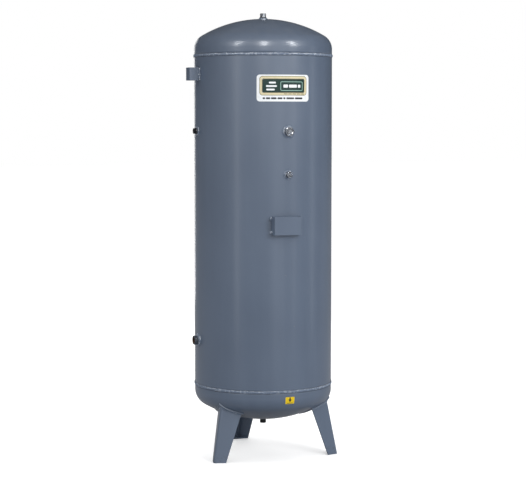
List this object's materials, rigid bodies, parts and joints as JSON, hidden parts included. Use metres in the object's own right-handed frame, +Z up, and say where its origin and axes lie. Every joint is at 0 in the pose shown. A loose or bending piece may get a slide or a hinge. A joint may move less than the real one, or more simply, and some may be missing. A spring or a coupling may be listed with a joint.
{
  "type": "air receiver tank",
  "caption": "Upright cylindrical air receiver with dished ends, threaded ports, plugs and folded sheet legs.",
  "frame": {"origin": "on the vessel's axis at floor level, the centre of the circle of the three floor anchor holes", "axes": "+Z up along the vessel's axis; -Y is the front with the gauge, switch and nameplate fittings; -X is the left with the inlet, outlet and side bracket"},
  "size_m": [0.6474, 0.6624, 1.9248],
  "materials": {
    "vessel_paint": "blue-grey semi-gloss enamel on carbon steel",
    "zinc_plating": "bright zinc plating",
    "black_iron": "black oxide",
    "washer_steel": "plated steel washer with a bonded seal",
    "label_film": "printed film",
    "caution_film": "printed film"
  },
  "bodies": {
    "tank": {"bottom_girth_weld": "vessel_paint", "bottom_head": "vessel_paint", "brand_plate": "label_film", "caution_label": "caution_film", "drain_coupling": "vessel_paint", "drain_coupling_weld": "vessel_paint", "gauge_coupling": "vessel_paint", "gauge_coupling_weld": "vessel_paint", "inlet_coupling": "vessel_paint", "inlet_coupling_weld": "vessel_paint", "left_foot_plate": "vessel_paint", "left_leg": "vessel_paint", "left_leg_pad": "vessel_paint", "left_leg_weld": "vessel_paint", "nameplate_bracket": "vessel_paint", "nameplate_bracket_welds": "vessel_paint", "outlet_coupling": "vessel_paint", "outlet_coupling_weld": "vessel_paint", "rear_foot_plate": "vessel_paint", "rear_leg": "vessel_paint", "rear_leg_pad": "vessel_paint", "rear_leg_weld": "vessel_paint", "right_foot_plate": "vessel_paint", "right_leg": "vessel_paint", "right_leg_pad": "vessel_paint", "right_leg_weld": "vessel_paint", "shell": "vessel_paint", "shell_seam_weld": "vessel_paint", "side_bracket": "vessel_paint", "side_bracket_welds": "vessel_paint", "switch_coupling": "vessel_paint", "switch_coupling_weld": "vessel_paint", "top_girth_weld": "vessel_paint", "top_head": "vessel_paint", "vent_coupling": "vessel_paint", "vent_coupling_weld": "vessel_paint"},
    "vent_plug": {"vent_plug": "zinc_plating", "vent_washer": "washer_steel"},
    "gauge_plug": {"gauge_plug": "zinc_plating", "gauge_washer": "washer_steel"},
    "switch_plug": {"switch_plug": "zinc_plating", "switch_washer": "washer_steel"},
    "outlet_plug": {"outlet_plug": "black_iron", "outlet_washer": "washer_steel"},
    "drain_plug": {"drain_plug": "black_iron", "drain_washer": "washer_steel"}
  },
  "joints": [
    {"name": "vent_plug_out", "type": "slide", "parent": "tank", "child": "vent_plug", "axis": [0, 0, 1], "range_m": [0, 0.02]},
    {"name": "gauge_plug_out", "type": "slide", "parent": "tank", "child": "gauge_plug", "axis": [0, -1, 0], "range_m": [0, 0.022]},
    {"name": "switch_plug_out", "type": "slide", "parent": "tank", "child": "switch_plug", "axis": [0, -1, 0], "range_m": [0, 0.02]},
    {"name": "outlet_plug_out", "type": "slide", "parent": "tank", "child": "outlet_plug", "axis": [-1, 0, 0], "range_m": [0, 0.02]},
    {"name": "drain_plug_out", "type": "slide", "parent": "tank", "child": "drain_plug", "axis": [0, 0, -1], "range_m": [0, 0.02]}
  ]
}
